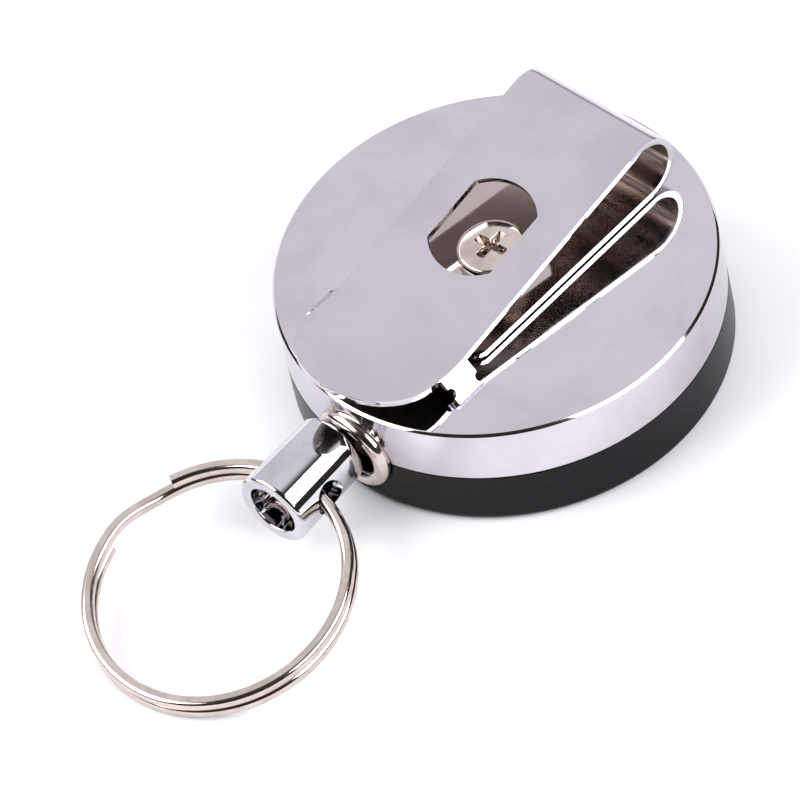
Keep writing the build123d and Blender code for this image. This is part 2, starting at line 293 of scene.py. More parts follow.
# Blued spring strip, straw to slate, rolled lengthwise.
SPRING_STEEL = plated_metal(
    "blued_spring_steel", "#6F747E", "#4C515E",
    0.22, 0.38, 0.6, 3.0, (1.5, 1.5, 0.1), 1.0,
)
BLACK_ABS = moulded_plastic(
    "moulded_black_abs", "#121015", "#0D0C10",
    0.3, 0.16, 5.0, 1.5, 0.12,
)
WHITE_ACETAL = moulded_plastic(
    "moulded_white_acetal", "#E9E7DF", "#DEDCD2",
    0.42, 0.3, 4.0, 1.48, 0.5,
)
NYLON_CORD = braided_nylon("braided_nylon_cord", True)
NYLON_KNOT = braided_nylon("braided_nylon_knot", False)


# ---------------------------------------------------------------- Mesh helpers

def new_piece(name, mesh, material, sharp_degrees=35):
    """An object at the origin, smooth except where its faces meet at a sharp angle."""
    mesh.shade_smooth()
    mesh.set_sharp_from_angle(angle=math.radians(sharp_degrees))
    mesh.materials.clear()
    mesh.materials.append(material)
    piece = bpy.data.objects.new(name, mesh)
    bpy.context.scene.collection.objects.link(piece)
    return piece


def settle(piece):
    """Turns a piece and its modifiers into a plain mesh."""
    bpy.context.view_layer.update()
    graph = bpy.context.evaluated_depsgraph_get()
    mesh = bpy.data.meshes.new_from_object(piece.evaluated_get(graph), depsgraph=graph)
    piece.modifiers.clear()
    piece.data = mesh
    return piece


def even_shading(piece):
    """Gives the large faces the say in the shading, so that flats look flat up to their rounded edges."""
    weighting = piece.modifiers.new("even_shading", "WEIGHTED_NORMAL")
    weighting.keep_sharp = True
    weighting.weight = 100
    return piece


def rounded(points, radii, steps=6):
    """A closed outline of (r, z) corners, each rounded by its own radius."""
    outline = []
    count = len(points)
    for i, radius in enumerate(radii):
        corner = Vector(points[i])
        if radius == 0:
            outline.append(corner)
            continue
        before = (Vector(points[i - 1]) - corner).normalized()
        after = (Vector(points[(i + 1) % count]) - corner).normalized()
        half = before.angle(after) / 2
        reach = radius / math.tan(half)
        centre = corner + (before + after).normalized() * (radius / math.sin(half))
        first = corner + before * reach - centre
        last = corner + after * reach - centre
        sweep = first.angle_signed(last)
        for step in range(steps + 1):
            outline.append(centre + Matrix.Rotation(-sweep * step / steps, 2) @ first)
    return outline


def lathe(name, outline, material, place=Matrix.Identity(4), segments=160):
    """Turns a closed (r, z) outline about Z and puts it in its place. Points with r of 0 become poles."""
    form = bmesh.new()
    rings = []
    for r, z in outline:
        if r < 1e-9:
            rings.append([form.verts.new((0, 0, z * MM))] * segments)
            continue
        ring = []
        for i in range(segments):
            angle = 2 * math.pi * i / segments
            ring.append(form.verts.new((r * MM * math.cos(angle), r * MM * math.sin(angle), z * MM)))
        rings.append(ring)
    for near, far in zip(rings, rings[1:] + rings[:1]):
        for i in range(segments):
            j = (i + 1) % segments
            corners = [near[i], near[j], far[j], far[i]]
            distinct = list(dict.fromkeys(corners))
            if len(distinct) > 2:
                form.faces.new(distinct)
    bmesh.ops.recalc_face_normals(form, faces=form.faces)
    bmesh.ops.transform(form, matrix=place, verts=form.verts)
    mesh = bpy.data.meshes.new(name)
    form.to_mesh(mesh)
    form.free()
    return even_shading(new_piece(name, mesh, material))


def cut(piece, cutter):
    """Takes the cutter's shape out of a piece."""
    taking = piece.modifiers.new("cut", "BOOLEAN")
    taking.operation = "DIFFERENCE"
    taking.solver = "EXACT"
    taking.object = cutter
    settle(piece)
    bpy.data.objects.remove(cutter)
    piece.data.set_sharp_from_angle(angle=math.radians(35))
    return even_shading(piece)


def rod(radius, start, end, place, segments=64):
    """A plain round cutter along the local X axis."""
    form = bmesh.new()
    bmesh.ops.create_cone(
        form, cap_ends=True, segments=segments,
        radius1=radius * MM, radius2=radius * MM, depth=(end - start) * MM,
    )
    lay = Matrix.Translation(((start + end) / 2 * MM, 0, 0)) @ Matrix.Rotation(math.pi / 2, 4, "Y")
    bmesh.ops.transform(form, matrix=place @ lay, verts=form.verts)
    mesh = bpy.data.meshes.new("cutter")
    form.to_mesh(mesh)
    form.free()
    cutter = bpy.data.objects.new("cutter", mesh)
    bpy.context.scene.collection.objects.link(cutter)
    return cutter


# ---------------------------------------------------------------- Places, from the frame

shell_low, shell_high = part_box("back_shell")
CASE_RADIUS = shell_high.x / MM
CASE_TOP = shell_high.z / MM
SEAM = shell_low.z / MM
joint_at = {joint["name"]: joint for joint in frame["joints"]}


def joint_point(name):
    return Vector(joint_at[name]["pos_m"]) / MM


def joint_axis(name):
    return Vector(joint_at[name]["axis"])


# ---------------------------------------------------------------- Case

def exit_place(distance):
    """Frame whose Z runs out along the cord, that far from the case's axis, at the seam's height."""
    turn = Matrix.Rotation(math.pi / 2, 4, "X")
    return Matrix.Translation((0, -distance * MM, SEAM * MM)) @ turn


EYELET_NECK = 2.9
EYELET_LIP = 3.3
EYELET_LIP_SECTION = 0.8
EYELET_THROAT = 2.5
EYELET_SEAT = 19.4
COVER_INSIDE = 18.6


def exit_cutter(radius, near, far):
    """Round cutter along the cord's way out."""
    outwards = Matrix.Rotation(-math.pi / 2, 4, "Z")
    return rod(radius, near, far, Matrix.Translation((0, 0, SEAM * MM)) @ outwards)


def make_back_shell():
    """Drawn cup: flat top, tight rolled edge, straight wall with a hair of an edge at the seam."""
    sheet = 0.55
    screw_hole = 1.65
    inside_top = CASE_TOP - sheet
    inside = CASE_RADIUS - sheet
    edge = 0.24
    corners = [
        (screw_hole, CASE_TOP), (CASE_RADIUS - edge, CASE_TOP), (CASE_RADIUS, CASE_TOP - edge),
        (CASE_RADIUS, SEAM + 0.04), (inside, SEAM + 0.04), (inside, inside_top), (screw_hole, inside_top),
    ]
    outline = rounded(corners, [0.05, 0.1, 0.1, 0.1, 0.08, 0.2, 0.05], steps=8)
    shell = lathe("case_back_shell", outline, CHROMED_STEEL, segments=256)
    cut(shell, exit_cutter(EYELET_NECK, COVER_INSIDE - 2, CASE_RADIUS + 2))
    cut(shell, exit_cutter(EYELET_LIP + EYELET_LIP_SECTION + 0.05, EYELET_SEAT, CASE_RADIUS + 2))
    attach(shell, "case")
    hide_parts("back_shell")


def make_front_cover():
    """Moulded cup with a spigot inside the shell, and a soft edge where it lies on the table."""
    floor = 1.3
    spigot = 19.4
    corners = [
        (0, 0), (CASE_RADIUS, 0), (CASE_RADIUS, SEAM - 0.02), (spigot, SEAM - 0.02),
        (spigot, SEAM + 1.4), (COVER_INSIDE, SEAM + 1.4), (COVER_INSIDE, floor), (5.0, floor),
        (5.0, 2.0), (0, 2.0),
    ]
    radii = [0, 0.9, 0.08, 0, 0.2, 0.1, 0.4, 0.2, 0.1, 0]
    cover = lathe("case_front_cover", rounded(corners, radii, steps=8), BLACK_ABS, segments=256)
    cut(cover, exit_cutter(EYELET_NECK, COVER_INSIDE - 2, CASE_RADIUS + 2))
    cut(cover, exit_cutter(EYELET_LIP + EYELET_LIP_SECTION + 0.05, EYELET_SEAT, CASE_RADIUS + 2))
    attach(cover, "case")
    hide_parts("front_cover")


def make_eyelet():
    """Spun grommet: a fat round lip outside, a straight throat, a clinched flange inside."""
    outline = []
    lip_steps = 28
    sink = CASE_RADIUS - EYELET_SEAT
    first = math.asin(-sink / EYELET_LIP_SECTION)
    last = math.pi
    for step in range(lip_steps + 1):
        angle = first + (last - first) * step / lip_steps
        outline.append(Vector((
            EYELET_LIP + EYELET_LIP_SECTION * math.cos(angle),
            CASE_RADIUS + EYELET_LIP_SECTION * math.sin(angle),
        )))
    back = COVER_INSIDE
    outline += [Vector(p) for p in (
        (EYELET_THROAT, back - 0.35), (EYELET_THROAT + 0.15, back - 0.5), (3.4, back - 0.5),
        (3.56, back - 0.42), (3.6, back - 0.25), (3.6, back), (EYELET_NECK, back), (EYELET_NECK, EYELET_SEAT),
    )]
    eyelet = lathe("cord_eyelet_ring", outline, NICKEL, exit_place(0), segments=128)
    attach(eyelet, "case")
    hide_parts("cord_eyelet")


# ---------------------------------------------------------------- Belt clip

CLIP_SHEET = 0.6
CLIP_GAP = 0.2
LEAF_TOP = CASE_TOP + CLIP_GAP + CLIP_SHEET
CLIP_SIDE = 7.36
CLIP_MIDDLE = -0.57
LEAF_END = -10.0
BEND_RADIUS = 3.45
ARM_SLOPE = math.radians(10.4)
FLARE_START = -12.57
FLARE_SLOPE = math.radians(7.4)
FLARE_BEND = 6.0
TONGUE_START = -15.4
TONGUE_END = -21.2
WINDOW_RADIUS = 5.0
WINDOW_SIDE = 3.75
EDGE_ROUND = 0.1
SPLIT_RISE = 0.05
EAR_START = -10.95
EAR_END = -14.2
EAR_REACH = 2.05
EAR_LAP = 0.3
EAR_BITE = 0.5
EAR_GAP = 0.04


def strip_path():
    """The strip's middle line in side view: straight runs and arcs from the leaf's end to the tip.

    Each part is (start, direction angle, length, turning radius): a radius of 0 is a straight run.
    """
    bend_y = joint_point("clip_flex").y
    middle = BEND_RADIUS - (CLIP_SHEET + CLIP_GAP) / 2
    half_sheet = CLIP_SHEET / 2
    leaf = bend_y - LEAF_END
    bend_angle = math.pi + ARM_SLOPE
    centre = Vector((bend_y, LEAF_TOP - half_sheet + middle))
    arm_start = centre + Vector((-math.sin(ARM_SLOPE), math.cos(ARM_SLOPE))) * middle
    turn = ARM_SLOPE + FLARE_SLOPE
    lead = (FLARE_BEND + half_sheet) * math.tan(turn / 2)
    surface_corner = (arm_start.x - half_sheet * math.sin(ARM_SLOPE) - FLARE_START) / math.cos(ARM_SLOPE)
    arm = surface_corner - lead - half_sheet * math.tan(turn / 2)
    flare = (FLARE_START - TONGUE_END) / math.cos(FLARE_SLOPE) - lead + half_sheet * math.tan(turn / 2)
    return [
        (leaf, 0.0), (middle * bend_angle, middle), (arm, 0.0),
        ((FLARE_BEND + half_sheet) * turn, -(FLARE_BEND + half_sheet)), (flare, 0.0),
    ]


def walk(path, distance):
    """Place and heading in side view at a distance along the strip's middle line."""
    place = Vector((LEAF_END, LEAF_TOP - CLIP_SHEET / 2))
    heading = 0.0
    for length, radius in path:
        step = max(0.0, min(distance, length)) if path[-1] != (length, radius) else distance
        if radius == 0:
            place = place + Vector((math.cos(heading), math.sin(heading))) * step
        else:
            side = Vector((-math.sin(heading), math.cos(heading))) * radius
            centre = place + side
            heading += step / radius
            place = centre + Vector((math.sin(heading), -math.cos(heading))) * radius
        distance -= step
        if distance <= 1e-9:
            break
    return place, heading


def distance_at(path, y):
    """Distance along the strip at which the arm's middle line passes over y."""
    low = path[0][0] + path[1][0]
    high = sum(length for length, _ in path)
    for _ in range(50):
        middle = (low + high) / 2
        if walk(path, middle)[0].x > y:
            low = middle
        else:
            high = middle
    return low


def strip_rows(path):
    """Cross rows of the strip: (distance, half width, half width of the window there)."""
    rows = []
    total = sum(length for length, _ in path)
    corner = 1.5
    for step in range(7):
        angle = math.pi / 2 * step / 6
        rows.append((corner * (1 - math.cos(angle)), CLIP_SIDE - corner * (1 - math.sin(angle)), 0.0))
    leaf, bend, arm, flare_bend, flare = [length for length, _ in path]
    leaf_steps, bend_steps, flare_steps = 12, 72, 12
    for step in range(1, leaf_steps + 1):
        rows.append((corner + (leaf - corner) * step / leaf_steps, CLIP_SIDE, 0.0))
    for step in range(1, bend_steps + 1):
        rows.append((leaf + bend * step / bend_steps, CLIP_SIDE, 0.0))
    open_angle = math.asin(WINDOW_SIDE / WINDOW_RADIUS)
    window = []
    arc_steps = 14
    for step in range(arc_steps + 1):
        angle = open_angle * step / arc_steps
        window.append((WINDOW_RADIUS * math.cos(angle), WINDOW_RADIUS * math.sin(angle)))
    side_steps = 4
    flat = WINDOW_RADIUS * math.cos(open_angle)
    for step in range(1, side_steps):
        window.append((flat * (1 - 2 * step / side_steps), WINDOW_SIDE))
    window += [(-y, half) for y, half in reversed(window[:arc_steps + 1])]
    before = leaf + bend
    window_start = distance_at(path, WINDOW_RADIUS)
    for step in range(1, 6):
        rows.append((before + (window_start - before) * step / 6, CLIP_SIDE, 0.0))
    rows += [(distance_at(path, y), CLIP_SIDE, half) for y, half in window]
    after = distance_at(path, -WINDOW_RADIUS)
    flare_from = leaf + bend + arm
    for step in range(1, 7):
        rows.append((after + (flare_from - after) * step / 6, CLIP_SIDE, 0.0))
    for step in range(1, flare_steps + 1):
        rows.append((flare_from + flare_bend * step / flare_steps, CLIP_SIDE, 0.0))
    tongue_from = distance_at(path, TONGUE_START)
    tip_steps = 40
    for step in range(tip_steps + 1):
        angle = math.pi / 2 * step / tip_steps
        rows.append((
            tongue_from + (total - tongue_from) * math.sin(angle), CLIP_SIDE * math.cos(angle), 0.0
        ))
    rows = sorted(set((round(d, 5), round(w, 5), round(o, 5)) for d, w, o in rows if w > 0.02 or o > 0))
    return rows


def make_clip():
    """The whole belt clip as one bent strip, with its window, rounded edges and tongue."""
    path = strip_path()
    rows = strip_rows(path)
    across = 10
    form = bmesh.new()
    lengthwise = form.loops.layers.uv.new("strip")
    half_sheet = CLIP_SHEET / 2
    left, right = [], []
    spots = {}
    for distance, half, opening in rows:
        place, heading = walk(path, distance)
        for side, columns in ((-1, left), (1, right)):
            column = []
            for step in range(across + 1):
                x = side * (opening + (half - opening) * step / across)
                if opening == 0 and step == 0 and side == 1:
                    column.append(left[-1][0])
                    continue
                vert = form.verts.new(((CLIP_MIDDLE + x) * MM, place.x * MM, place.y * MM))
                spots[vert] = (x, distance, heading)
                column.append(vert)
            columns.append(column)
    for side, columns in ((-1, left), (1, right)):
        for near, far in zip(columns, columns[1:]):
            for step in range(across):
                corners = [near[step], near[step + 1], far[step + 1], far[step]]
                if side == -1:
                    corners.reverse()
                face = form.faces.new(corners)
                for loop in face.loops:
                    x, distance, _ = spots[loop.vert]
                    loop[lengthwise].uv = (x * MM, distance * MM)
    mesh = bpy.data.meshes.new("belt_clip_strip")
    form.to_mesh(mesh)
    form.free()
    clip = new_piece("belt_clip_strip", mesh, CLIP_INSIDE, 50)
    clip.data.materials.append(CLIP_STEEL)
    thicken = clip.modifiers.new("sheet", "SOLIDIFY")
    thicken.thickness = CLIP_SHEET * MM
    thicken.offset = 0
    thicken.use_even_offset = True
    thicken.material_offset = 1
    thicken.material_offset_rim = 1
    round_edges = clip.modifiers.new("deburred", "BEVEL")
    round_edges.width = EDGE_ROUND * MM
    round_edges.segments = 3
    round_edges.limit_method = "ANGLE"
    round_edges.angle_limit = math.radians(50)
    settle(clip)
    clip.data.set_sharp_from_angle(angle=math.radians(50))
    even_shading(clip)
    settle(clip)
    # Inner faces above the leaf, under the arm and round the bend, take the darker copy of the inner nickel:
    # painted shade.
    clip.data.materials.append(CLIP_UNDERSIDE_PAINTED_SHADE)
    for face in clip.data.polygons:
        if face.material_index == 0 and face.center.z > (LEAF_TOP + SPLIT_RISE) * MM:
            face.material_index = 2
    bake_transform(clip)
    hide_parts("clip_base", "clip_arm")


def make_ear(name, side):
    """Tab bent out and down from the arm's edge, with a round relief bite at each end."""
    foot = CASE_TOP + EAR_GAP
    foot_width = CLIP_SHEET * math.sqrt(2)
    top = foot + EAR_REACH + EAR_LAP
    corners = [
        (-EAR_LAP, top), (EAR_REACH, foot), (EAR_REACH - foot_width, foot), (-EAR_LAP, top - foot_width),
    ]
    edge = CLIP_MIDDLE + side * CLIP_SIDE
    section = rounded(corners, [0.1, 0.15, 0.1, 0.1], steps=4)
    form = bmesh.new()
    ends = []
    for y in (EAR_START, EAR_END):
        ends.append([form.verts.new(((edge + side * x) * MM, y * MM, z * MM)) for x, z in section])
    form.faces.new(ends[0])
    form.faces.new(ends[1])
    for i in range(len(section)):
        j = (i + 1) % len(section)
        form.faces.new([ends[0][i], ends[0][j], ends[1][j], ends[1][i]])
    bmesh.ops.recalc_face_normals(form, faces=form.faces)
    mesh = bpy.data.meshes.new(name)
    form.to_mesh(mesh)
    form.free()
    ear = new_piece(name, mesh, CLIP_STEEL)
    slant = Matrix.Rotation(-side * math.pi / 4, 4, "Y")
    for y, down in ((EAR_START, 1.4), (EAR_END, 1.0)):
        spot = Vector((edge + side * down, y, foot + EAR_REACH - down)) * MM
        cut(ear, rod(EAR_BITE, -3, 3, Matrix.Translation(spot) @ slant))
    settle(ear)
    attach(ear, "clip_arm")


# ---------------------------------------------------------------- Clip screw

SCREW_HEAD = 3.15
SCREW_HEAD_HEIGHT = 1.6
HEAD_SHOULDER = 0.42
THREAD_CREST = 1.48
THREAD_ROOT = 1.2
THREAD_PITCH = 0.5
RECESS_TURN = math.radians(2)


def wing_cutter(place):
    """One tapered wing of the cross recess, along the local X axis, with its mouth at z of 0."""
    wing_levels = [(1.78, 0.46, 0.3), (1.66, 0.42, 0.0), (1.25, 0.33, -0.95), (1.05, 0.25, -1.0)]
    snub = 0.12
    form = bmesh.new()
    rings = []
    for reach, half, z in wing_levels:
        quarter = [(reach, half * 0.6), (reach - snub, half)]
        outline = quarter + [(-x, y) for x, y in reversed(quarter)]
        outline += [(-x, -y) for x, y in outline]
        rings.append([form.verts.new((x * MM, y * MM, z * MM)) for x, y in outline])
    form.faces.new(rings[0])
    form.faces.new(rings[-1])
    for near, far in zip(rings, rings[1:]):
        for i in range(len(near)):
            j = (i + 1) % len(near)
            form.faces.new([near[i], near[j], far[j], far[i]])
    bmesh.ops.recalc_face_normals(form, faces=form.faces)
    bmesh.ops.transform(form, matrix=place, verts=form.verts)
    mesh = bpy.data.meshes.new("cutter")
    form.to_mesh(mesh)
    form.free()
    cutter = bpy.data.objects.new("cutter", mesh)
    bpy.context.scene.collection.objects.link(cutter)
    return cutter


def make_screw():
    """Pan head screw: domed head with a cross recess, and a cut thread down to its point."""
    seat = LEAF_TOP
    head_top = seat + SCREW_HEAD_HEIGHT
    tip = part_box("clip_screw")[0].z / MM
    dome = 0.1
    outline = [Vector((0, tip)), Vector((THREAD_ROOT - 0.25, tip)), Vector((THREAD_ROOT, tip + 0.25))]
    outline.append(Vector((THREAD_ROOT, seat)))
    outline += [Vector((SCREW_HEAD - 0.08, seat)), Vector((SCREW_HEAD, seat + 0.08))]
    dome_steps = 16
    edge = SCREW_HEAD - HEAD_SHOULDER
    for step in range(9):
        angle = math.pi / 2 * step / 8
        outline.append(Vector((
            edge + HEAD_SHOULDER * math.cos(angle),
            head_top - dome - HEAD_SHOULDER + HEAD_SHOULDER * math.sin(angle),
        )))
    for step in range(1, dome_steps + 1):
        r = edge * (1 - step / dome_steps)
        outline.append(Vector((r, head_top - dome * (r / edge) ** 2)))
    screw = lathe("clip_screw_head", outline, NICKEL, segments=96)
    mouth = Matrix.Translation((0, 0, head_top * MM))
    cut(screw, wing_cutter(mouth @ Matrix.Rotation(RECESS_TURN, 4, "Z")))
    cut(screw, wing_cutter(mouth @ Matrix.Rotation(RECESS_TURN + math.pi / 2, 4, "Z")))
    settle(screw)
    # Faces sunk in the cross recess get the nickel darkened with painted shade.
    screw.data.materials.append(PAINTED_SHADE_RECESS_NICKEL)
    for face in screw.data.polygons:
        sunk = seat * MM < face.center.z < (head_top - 0.15) * MM
        if sunk and face.center.xy.length < (SCREW_HEAD - 1) * MM:
            face.material_index = 1
    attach(screw, "case")
    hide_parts("clip_screw")
    make_thread(tip, seat)


def make_thread(tip, seat):
    """Cut thread on the screw's shank: crest and root follow one helix all the way down."""
    around, per_pitch = 40, 8
    runout = 0.6
    bottom, top = tip + 0.3, seat - 0.9
    rows = int((top - bottom) / THREAD_PITCH * per_pitch)
    form = bmesh.new()
    rings = []
    for row in range(rows + 1):
        z = bottom + (top - bottom) * row / rows
        fade = min(1.0, (z - bottom) / runout, (top - z) / runout)
        ring = []
        for i in range(around):
            phase = (z / THREAD_PITCH - i / around) % 1.0
            height = 1 - abs(2 * phase - 1)
            r = THREAD_ROOT + 0.01 + (THREAD_CREST - THREAD_ROOT) * height * max(fade, 0.0)
            angle = 2 * math.pi * i / around
            ring.append(form.verts.new((r * MM * math.cos(angle), r * MM * math.sin(angle), z * MM)))
        rings.append(ring)
    for near, far in zip(rings, rings[1:]):
        for i in range(around):
            j = (i + 1) % around
            form.faces.new([near[i], near[j], far[j], far[i]])
    form.faces.new(list(reversed(rings[0])))
    form.faces.new(rings[-1])
    mesh = bpy.data.meshes.new("clip_screw_thread")
    form.to_mesh(mesh)
    form.free()
    thread = new_piece("clip_screw_thread", mesh, NICKEL)
    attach(thread, "case")


# ---------------------------------------------------------------- Bell

BELL_LENGTH = 8.75
BELL_INNER_END = 3.43
BELL_OUTER_END = 3.62
BELL_BORE = 2.45
BELL_END_WALL = 1.3
BELL_CORD_HOLE = 0.65
RING_HOLE = 4.8
RING_HOLE_RADIUS = 1.65


def bell_place():
    """Frame whose Z runs out along the bell's axis from its inner end and whose X runs across it."""
    along = joint_axis("bell_swivel").normalized()
    across = Vector((-along.y, along.x, 0))
    turn = Matrix((across, along.cross(across), along)).transposed().to_4x4()
    return Matrix.Translation(joint_point("bell_swivel") * MM) @ turn


def make_bell():
    """Turned bell: chamfered at both ends, bored for the knot, drilled through for the split ring."""
    corners = [
        (BELL_CORD_HOLE, 0), (BELL_INNER_END, 0), (BELL_OUTER_END, BELL_LENGTH),
        (BELL_BORE, BELL_LENGTH), (BELL_BORE, BELL_END_WALL), (BELL_CORD_HOLE, BELL_END_WALL),
    ]
    outline = rounded(corners, [0.15, 0.4, 0.4, 0.25, 0.3, 0.1], steps=6)
    place = bell_place()
    bell = lathe("cord_bell", outline, BELL_CHROME, place, segments=160)
    across = place @ Matrix.Translation((0, 0, RING_HOLE * MM))
    cut(bell, rod(RING_HOLE_RADIUS, -5, 5, across))
    settle(bell)
    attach(bell, "bell")
    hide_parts("bell")


# ---------------------------------------------------------------- Paths with a section, by Geometry Nodes

def new_tree(name, sizes):
    """A geometry tree with named sizes, in millimetres or degrees, and where its inputs and output are."""
    tree = bpy.data.node_groups.new(name, "GeometryNodeTree")
    tree.interface.new_socket("Geometry", in_out="OUTPUT", socket_type="NodeSocketGeometry")
    tree.interface.new_socket("Finish", in_out="INPUT", socket_type="NodeSocketMaterial")
    for size in sizes:
        tree.interface.new_socket(size, in_out="INPUT", socket_type="NodeSocketFloat")
    return tree, add(tree, "NodeGroupInput").outputs


def grow(name, tree, values, material, sharp_degrees=35):
    """Runs a geometry tree with those values and keeps what it makes as a plain mesh."""
    piece = bpy.data.objects.new(name, bpy.data.meshes.new(name))
    bpy.context.scene.collection.objects.link(piece)
    growing = piece.modifiers.new("growing", "NODES")
    growing.node_group = tree
    for item in tree.interface.items_tree:
        if item.in_out == "INPUT":
            growing[item.identifier] = material if item.name == "Finish" else float(values[item.name])
    settle(piece)
    piece.data.shade_smooth()
    piece.data.set_sharp_from_angle(angle=math.radians(sharp_degrees))
    return piece


def end_tree(tree, geometry, finish):
    """Ends a tree with real geometry in its finish."""
    real = add(tree, "GeometryNodeRealizeInstances", {"Geometry": geometry})
    coated = add(tree, "GeometryNodeSetMaterial", {"Geometry": real.outputs[0], "Material": finish})
    add(tree, "NodeGroupOutput", {"Geometry": coated.outputs[0]})


def calculate(tree, operation, first, second=0.0, third=0.0):
    """One sum of numbers in a geometry tree."""
    return add(tree, "ShaderNodeMath", {0: first, 1: second, 2: third}, operation=operation).outputs[0]


def split_ring_tree():
    """Two flat turns of wire on each other, joined where the lower turn climbs over a short stretch."""
    sizes = ["Coil radius", "Turns", "Climb starts", "Climb ends", "Wire width", "Wire height", "Wire round"]
    tree, size = new_tree("split_ring", sizes)
    spiral = add(tree, "GeometryNodeCurveSpiral", {
        "Resolution": 128, "Rotations": size["Turns"], "Start Radius": size["Coil radius"],
        "End Radius": size["Coil radius"], "Height": 0.0, "Reverse": True,
    })
    share = add(tree, "GeometryNodeSplineParameter").outputs["Factor"]
    turned = calculate(tree, "MULTIPLY", share, size["Turns"])
    degrees = calculate(tree, "MULTIPLY", turned, 360.0)
    climb = add(tree, "ShaderNodeMapRange", {
        "Value": degrees, "From Min": size["Climb starts"], "From Max": size["Climb ends"],
        "To Min": -0.5, "To Max": 0.5,
    }, interpolation_type="SMOOTHERSTEP").outputs[0]
    height = calculate(tree, "MULTIPLY", climb, size["Wire height"])
    lift = add(tree, "ShaderNodeCombineXYZ", {"Z": height})
    lifted = add(tree, "GeometryNodeSetPosition", {"Geometry": spiral.outputs[0], "Offset": lift.outputs[0]})
    upright = add(tree, "GeometryNodeSetCurveNormal", {"Curve": lifted.outputs[0]}, mode="Z_UP")
    box = add(tree, "GeometryNodeCurvePrimitiveQuadrilateral", {
        "Width": size["Wire width"], "Height": size["Wire height"],
    })
    section = add(tree, "GeometryNodeFilletCurve", {
        "Curve": box.outputs[0], "Radius": size["Wire round"], "Count": 5,
    }, mode="POLY")
    wire = add(tree, "GeometryNodeCurveToMesh", {
        "Curve": upright.outputs[0], "Profile Curve": section.outputs[0], "Fill Caps": True,
    })
    end_tree(tree, wire.outputs[0], size["Finish"])
    return tree


def make_split_ring():
    """Flattened wire coiled nearly twice round, hanging in the bell's cross hole."""
    wire_width, wire_height, wire_round = 1.2, 1.2, 0.5
    coil_radius, hang = 11.88, -0.15
    end_gap, climb, climb_end = 1.5, 35.5, 275.5
    pivot = joint_point("ring_swing")
    along = joint_axis("bell_swivel").normalized()
    flat_turn = 360 - climb - end_gap
    values = {
        "Coil radius": coil_radius * MM, "Turns": (2 * flat_turn + climb) / 360,
        "Climb starts": flat_turn, "Climb ends": flat_turn + climb,
        "Wire width": wire_width * MM, "Wire height": wire_height * MM,
        "Wire round": wire_round * MM,
    }
    ring = grow("split_ring_coil", split_ring_tree(), values, NICKEL, 50)
    tilt = math.radians(11.08)
    outward = along * math.cos(tilt) - Vector((0, 0, 1)) * math.sin(tilt)
    across = Vector((-along.y, along.x, 0))
    normal = outward.cross(across)
    centre = pivot + outward * (coil_radius - hang)
    turn = Matrix((outward, normal.cross(outward), normal)).transposed().to_4x4()
    spin = Matrix.Rotation(math.radians(climb_end + end_gap), 4, "Z")
    ring.data.transform(Matrix.Translation(centre * MM) @ turn @ spin)
    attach(ring, "ring")
    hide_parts("split_ring")


# ---------------------------------------------------------------- Cord

LEAD_RADIUS = 16.15
LEAD_CORNER = Vector((-1.65, -17.4, SEAM))
LEAD_BEND = 3.97
WINDING_TURNS = 3
WINDING_LAYERS = 3
WINDING_PITCH = 0.93
WINDING_STEP = 0.78
DRUM_RADIUS = 13.0
KNOT_DEPTH = 0.35


def captured(tree, geometry, value):
    """Keeps a number on every point of a geometry: the geometry that has it, and the number."""
    capture = tree.nodes.new("GeometryNodeCaptureAttribute")
    capture.capture_items.new("FLOAT", "Value")
    tree.links.new(geometry, capture.inputs[0])
    tree.links.new(value, capture.inputs[1])
    return capture.outputs[0], capture.outputs[1]


def sweep_cord(tree, curve, size):
    """Ends a tree with a round cord along a curve, with a UV map measured in the cord's girth."""
    spline = add(tree, "GeometryNodeSplineParameter").outputs
    line, distance = captured(tree, curve, spline["Length"])
    circle = add(tree, "GeometryNodeCurvePrimitiveCircle", {"Resolution": 16, "Radius": size["Cord radius"]})
    section, share = captured(tree, circle.outputs[0], spline["Factor"])
    tube = add(tree, "GeometryNodeCurveToMesh", {"Curve": line, "Profile Curve": section, "Fill Caps": True})
    girth = calculate(tree, "MULTIPLY", size["Cord radius"], 2 * math.pi)
    along = calculate(tree, "DIVIDE", distance, girth)
    spot = add(tree, "ShaderNodeCombineXYZ", {"X": share, "Y": along})
    mapped = add(tree, "GeometryNodeStoreNamedAttribute", {
        "Geometry": tube.outputs[0], "Name": "UVMap", "Value": spot.outputs[0],
    }, data_type="FLOAT2", domain="CORNER")
    end_tree(tree, mapped.outputs[0], size["Finish"])
    return tree


def cord_lead_tree():
    """Cord from one point to another round a bent corner between them."""
    ends = ["Start X", "Start Y", "Corner X", "Corner Y", "End X", "End Y", "Height"]
    tree, size = new_tree("cord_lead", ends + ["Bend radius", "Cord radius"])
    start, corner, end = [
        add(tree, "ShaderNodeCombineXYZ", {
            "X": size[name + " X"], "Y": size[name + " Y"], "Z": size["Height"],
        }).outputs[0] for name in ("Start", "Corner", "End")
    ]
    line = add(tree, "GeometryNodeCurvePrimitiveLine", {"Start": start, "End": end})
    three = add(tree, "GeometryNodeResampleCurve", {"Curve": line.outputs[0], "Count": 3})
    order = add(tree, "GeometryNodeInputIndex").outputs[0]
    middle = calculate(tree, "COMPARE", order, 1.0, 0.5)
    bent = add(tree, "GeometryNodeSetPosition", {
        "Geometry": three.outputs[0], "Selection": middle, "Position": corner,
    })
    round_corner = add(tree, "GeometryNodeFilletCurve", {
        "Curve": bent.outputs[0], "Radius": size["Bend radius"], "Count": 16,
    }, mode="POLY")
    fine = add(tree, "GeometryNodeResampleCurve", {"Curve": round_corner.outputs[0], "Count": 240})
    upright = add(tree, "GeometryNodeSetCurveNormal", {"Curve": fine.outputs[0]}, mode="Z_UP")
    return sweep_cord(tree, upright.outputs[0], size)


